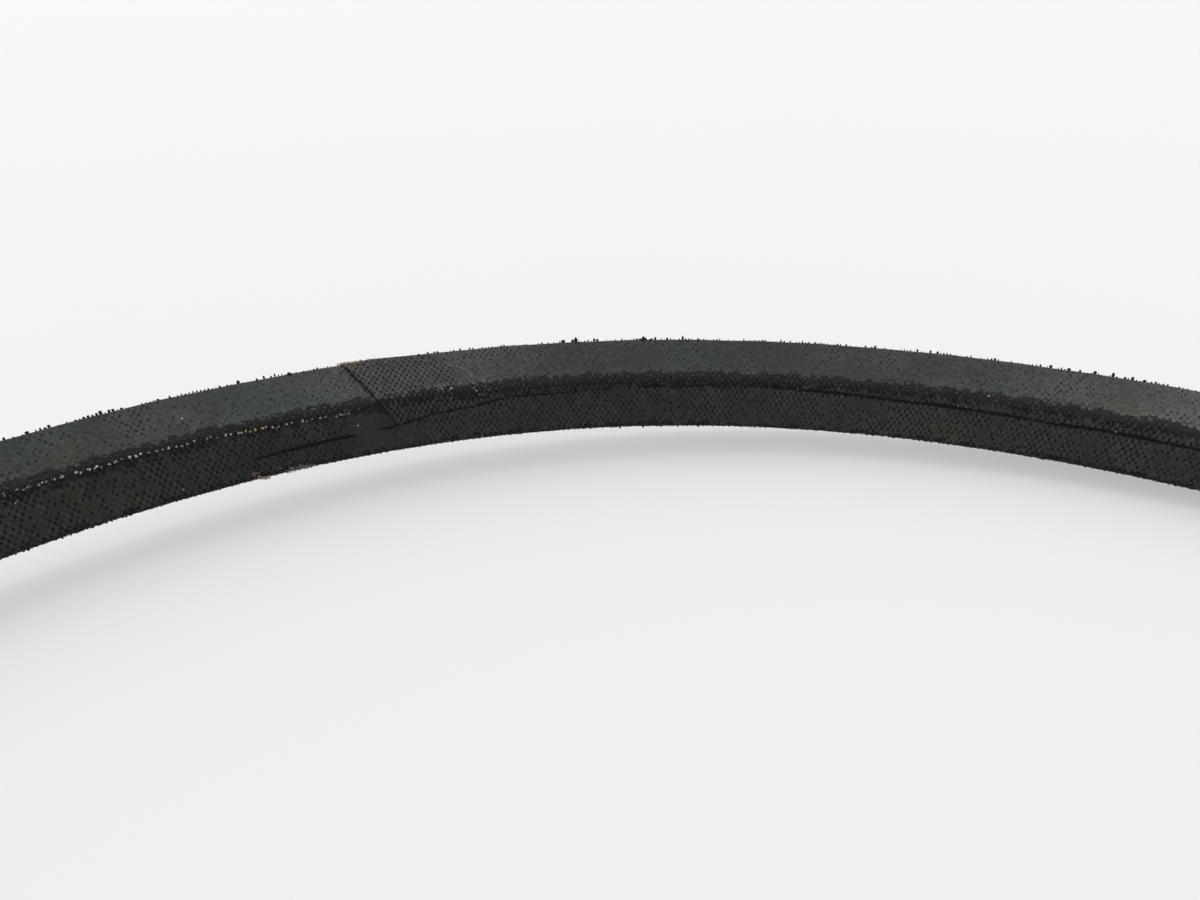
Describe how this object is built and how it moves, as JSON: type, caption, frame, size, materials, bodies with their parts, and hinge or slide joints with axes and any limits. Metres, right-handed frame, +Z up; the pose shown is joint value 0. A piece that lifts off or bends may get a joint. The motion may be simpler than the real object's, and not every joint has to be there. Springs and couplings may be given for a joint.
{
  "type": "v belt",
  "caption": "Wrapped classical V belt of A section, 13 x 8 mm and 737 mm inside length, with a cloth cover, rubber body and one wound tensile cord, lying relaxed as a closed loop.",
  "frame": {"origin": "centre of the loop, on the plane that the belt rests on", "axes": "+Z up along the loop's axis; the two resting stretches lie on the X axis and the two raised ones on the Y axis"},
  "size_m": [0.2506, 0.2506, 0.0172],
  "materials": {
    "cover_cloth": "matte rubberised cotton and polyester cloth, bias cut",
    "base_rubber": "matte vulcanised rubber",
    "adhesion_gum": "smooth vulcanised gum",
    "polyester_cord": "twisted cord, treated and dipped"
  },
  "bodies": {
    "root": {"outer_cover_ply": "cover_cloth", "cover_splice_lap": "cover_cloth", "inner_cover_ply": "cover_cloth", "tension_rubber": "base_rubber", "adhesion_gum": "adhesion_gum", "tensile_cord": "polyester_cord", "compression_rubber": "base_rubber"}
  },
  "joints": []
}
